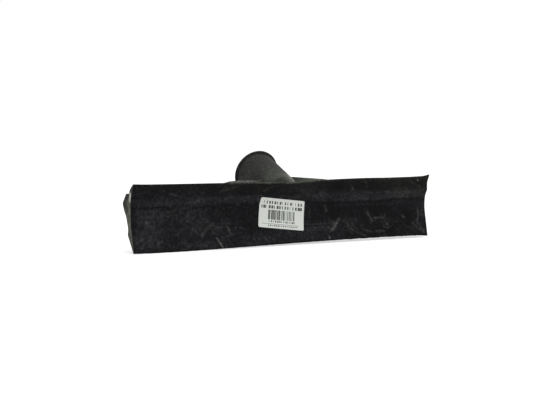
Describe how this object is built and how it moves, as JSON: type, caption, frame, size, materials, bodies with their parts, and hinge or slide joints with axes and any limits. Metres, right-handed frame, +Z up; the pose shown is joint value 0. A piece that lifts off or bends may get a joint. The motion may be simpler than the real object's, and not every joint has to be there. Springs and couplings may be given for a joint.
{
  "type": "floor squeegee head",
  "caption": "Floor squeegee head: a long black rubber blade with a bending lower and upper lip on an iron core, and a tilted rubber-covered socket at the back for a round handle.",
  "frame": {"origin": "middle of the working edge, the flat at the bottom of the lower lip", "axes": "+X along the blade to the right as seen from its front face, +Y to the handle side, +Z up"},
  "size_m": [0.3, 0.0719, 0.0808],
  "materials": {
    "blade_rubber": "satin",
    "socket_rubber": "matte",
    "core_iron": "dull",
    "tube_steel": "dull",
    "label_paper": "matte"
  },
  "bodies": {
    "head": {"spine_cover": "blade_rubber", "core_bar": "core_iron", "core_saddle": "core_iron", "saddle_rivets": "tube_steel", "socket_tube": "tube_steel", "socket_sleeve": "socket_rubber", "socket_webs": "socket_rubber", "label": "label_paper"},
    "lower_lip": {"wiper_lip": "blade_rubber"},
    "top_lip": {"upper_lip": "blade_rubber"}
  },
  "joints": [
    {"name": "lower_lip_bend", "type": "hinge", "parent": "head", "child": "lower_lip", "pos_m": [0, 0.00985, 0.027], "axis": [1, 0, 0], "range_deg": [-20, 20], "stiffness_Nm_per_rad": 3, "deforming": ["label"]},
    {"name": "top_lip_bend", "type": "hinge", "parent": "head", "child": "top_lip", "pos_m": [0, 0.00483, 0.04936], "axis": [1, 0, 0], "range_deg": [-15, 15], "stiffness_Nm_per_rad": 1.5}
  ]
}
